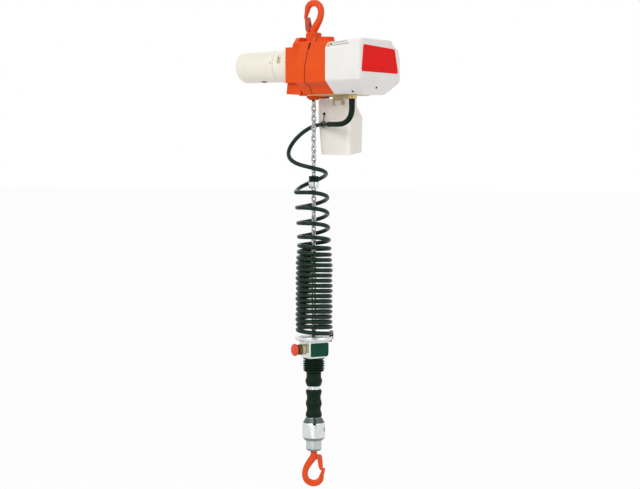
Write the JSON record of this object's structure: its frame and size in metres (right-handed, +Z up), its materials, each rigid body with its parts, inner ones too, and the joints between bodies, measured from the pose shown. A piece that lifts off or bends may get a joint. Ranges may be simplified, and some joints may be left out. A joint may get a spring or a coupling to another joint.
{
  "type": "electric chain hoist",
  "caption": "Small electric chain hoist with hook suspension, chain container and a hanging cylinder control on a curly cord.",
  "frame": {"origin": "centre of the top hook's bowl", "axes": "+Z up along the chain, +X along the body towards the controller, front at -Y"},
  "size_m": [0.403, 0.182, 1.171],
  "materials": {
    "orange_paint": "satin baked enamel",
    "orange_casing": "satin paint on die-cast aluminium",
    "steel": "machined",
    "chain_steel": "nickel plated",
    "core_iron": "laminated",
    "copper": "turned copper",
    "cream_paint": "satin paint",
    "tan_plastic": "moulded",
    "white_plastic": "moulded, satin",
    "red_plate": "printed film, bare",
    "board": "circuit board",
    "brass_plate": "yellow zinc plated",
    "dark_plastic": "moulded",
    "black_rubber": "matt rubber",
    "cord": "satin polyurethane",
    "aluminium": "machined and anodised",
    "red_button": "moulded"
  },
  "bodies": {
    "hook": {"top_hook": "orange_paint", "top_hook_nut": "steel", "top_latch_pin": "steel"},
    "top_latch": {"top_latch": "orange_paint"},
    "hoist": {"hook_yoke": "orange_paint", "yoke_pins": "steel", "gear_case_left": "orange_casing", "gear_case_right": "orange_casing", "case_bolts": "steel", "motor_end_frame": "cream_paint", "motor_cover": "cream_paint", "motor_stator": "core_iron", "brush_holders": "tan_plastic", "bearings": "steel", "controller_cover": "white_plastic", "cover_screws": "steel", "end_plate": "red_plate", "controller_board": "board", "transformer": "core_iron", "bottom_plate": "brass_plate", "chain_guide": "dark_plastic", "chain_container": "white_plastic", "container_hanger": "tan_plastic", "container_pin": "steel", "cord_gland": "dark_plastic", "cord_sleeve": "black_rubber", "cord_tie": "black_rubber", "cord_lead": "cord", "cord_coil": "cord", "load_chain_upper": "chain_steel", "slack_chain": "chain_steel"},
    "rotor": {"motor_shaft": "steel", "motor_armature": "core_iron", "commutator": "copper", "motor_fan": "tan_plastic"},
    "intermediate": {"intermediate_shaft": "steel", "intermediate_gear": "steel"},
    "wheel": {"load_wheel": "steel", "load_gear": "steel"},
    "load": {"load_chain_lower": "chain_steel", "chain_cushion": "black_rubber", "chain_stopper": "chain_steel", "control_disc": "aluminium", "control_case": "aluminium", "panel_plate": "dark_plastic", "estop_collar": "dark_plastic", "chain_anchor": "steel", "chain_anchor_pin": "steel", "inner_tube": "aluminium", "bellows": "black_rubber", "lower_grip": "black_rubber", "coupler_body": "aluminium", "coupler_barrel": "aluminium", "thrust_bearing": "steel"},
    "control_sleeve": {"finger_sleeve": "black_rubber"},
    "stop_button": {"estop_button": "red_button"},
    "low_hook": {"bottom_hook": "orange_paint", "bottom_hook_nut": "steel", "bottom_latch_pin": "steel"},
    "bottom_latch": {"bottom_latch": "orange_paint"}
  },
  "joints": [
    {"name": "top_latch_swing", "type": "hinge", "parent": "hook", "child": "top_latch", "pos_m": [-0.0135, 0, -0.0435], "axis": [0, 1, 0], "range_deg": [0, 30], "stiffness_Nm_per_rad": 0.05, "springref_deg": -45.84},
    {"name": "body_swivel", "type": "hinge", "parent": "hook", "child": "hoist", "pos_m": [0, 0, -0.072], "axis": [0, 0, 1], "continuous": true},
    {"name": "lift", "type": "slide", "parent": "hoist", "child": "load", "axis": [0, 0, 1], "range_m": [0, 0.18], "deforming": ["load_chain_upper", "slack_chain", "cord_lead", "cord_coil"]},
    {"name": "wheel_turn", "type": "hinge", "parent": "hoist", "child": "wheel", "pos_m": [0, 0.01738, -0.158], "axis": [1, 0, 0], "range_deg": [-720, 720]},
    {"name": "intermediate_turn", "type": "hinge", "parent": "hoist", "child": "intermediate", "pos_m": [0, -0.0231, -0.15665], "axis": [1, 0, 0], "range_deg": [-2000, 2000]},
    {"name": "rotor_turn", "type": "hinge", "parent": "hoist", "child": "rotor", "pos_m": [0, 0, -0.124], "axis": [1, 0, 0], "range_deg": [-6000, 6000]},
    {"name": "sleeve_slide", "type": "slide", "parent": "load", "child": "control_sleeve", "axis": [0, 0, 1], "range_m": [-0.006, 0.006], "stiffness_N_per_m": 600, "deforming": ["bellows"]},
    {"name": "stop_press", "type": "slide", "parent": "load", "child": "stop_button", "axis": [0.4195, 0.9078, 0], "range_m": [0, 0.004], "stiffness_N_per_m": 800, "springref_m": -0.002},
    {"name": "hook_swivel", "type": "hinge", "parent": "load", "child": "low_hook", "pos_m": [0, 0, -1.053], "axis": [0, 0, 1], "continuous": true},
    {"name": "bottom_latch_swing", "type": "hinge", "parent": "low_hook", "child": "bottom_latch", "pos_m": [0.01106, 0.00774, -1.0685], "axis": [-0.5736, 0.8192, 0], "range_deg": [0, 30], "stiffness_Nm_per_rad": 0.05, "springref_deg": -45.84}
  ],
  "couplings": [
    {"joint": "wheel_turn", "follows": "lift", "rad_per_m": -52.36},
    {"joint": "intermediate_turn", "follows": "lift", "rad_per_m": 149.6},
    {"joint": "rotor_turn", "follows": "lift", "rad_per_m": -534.28}
  ]
}
